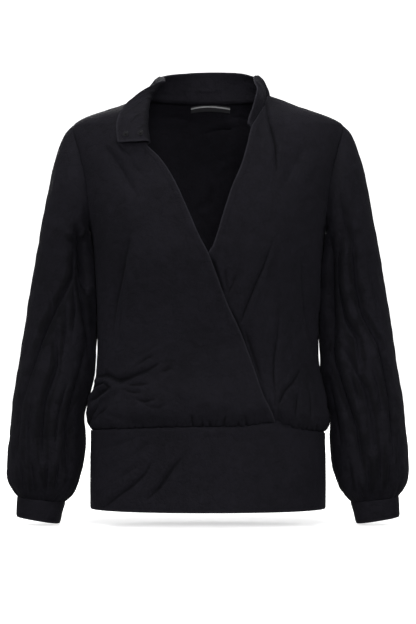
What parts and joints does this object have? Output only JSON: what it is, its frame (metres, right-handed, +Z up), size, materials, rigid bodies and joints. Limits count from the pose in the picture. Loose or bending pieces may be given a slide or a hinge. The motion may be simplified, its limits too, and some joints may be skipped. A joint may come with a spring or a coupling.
{
  "type": "wrap blouse",
  "caption": "Black jersey wrap blouse, worn form: crossed fronts, stand collar with one end turned out on press studs, full sleeves in cuffs, deep waistband.",
  "frame": {"origin": "midway between the two shoulder seams at the base of the neck, where the blouse hangs from its wearer", "axes": "+Z up the wearer, -Y out of the front, +X towards the wearer's left sleeve"},
  "size_m": [0.623, 0.249, 0.704],
  "materials": {
    "jersey": "matt single jersey",
    "firm_jersey": "matt doubled jersey",
    "ribbon": "satin ribbon",
    "lacquer": "black lacquered snap"
  },
  "bodies": {
    "root": {"back": "jersey", "front_right": "jersey", "front_left": "jersey", "sleeve_left": "jersey", "sleeve_right": "jersey", "waistband_front": "firm_jersey", "waistband_back": "firm_jersey", "cuff_left": "firm_jersey", "cuff_right": "firm_jersey", "collar": "firm_jersey", "label": "ribbon", "press_stud_outer": "lacquer", "press_stud_inner": "lacquer"}
  },
  "joints": []
}
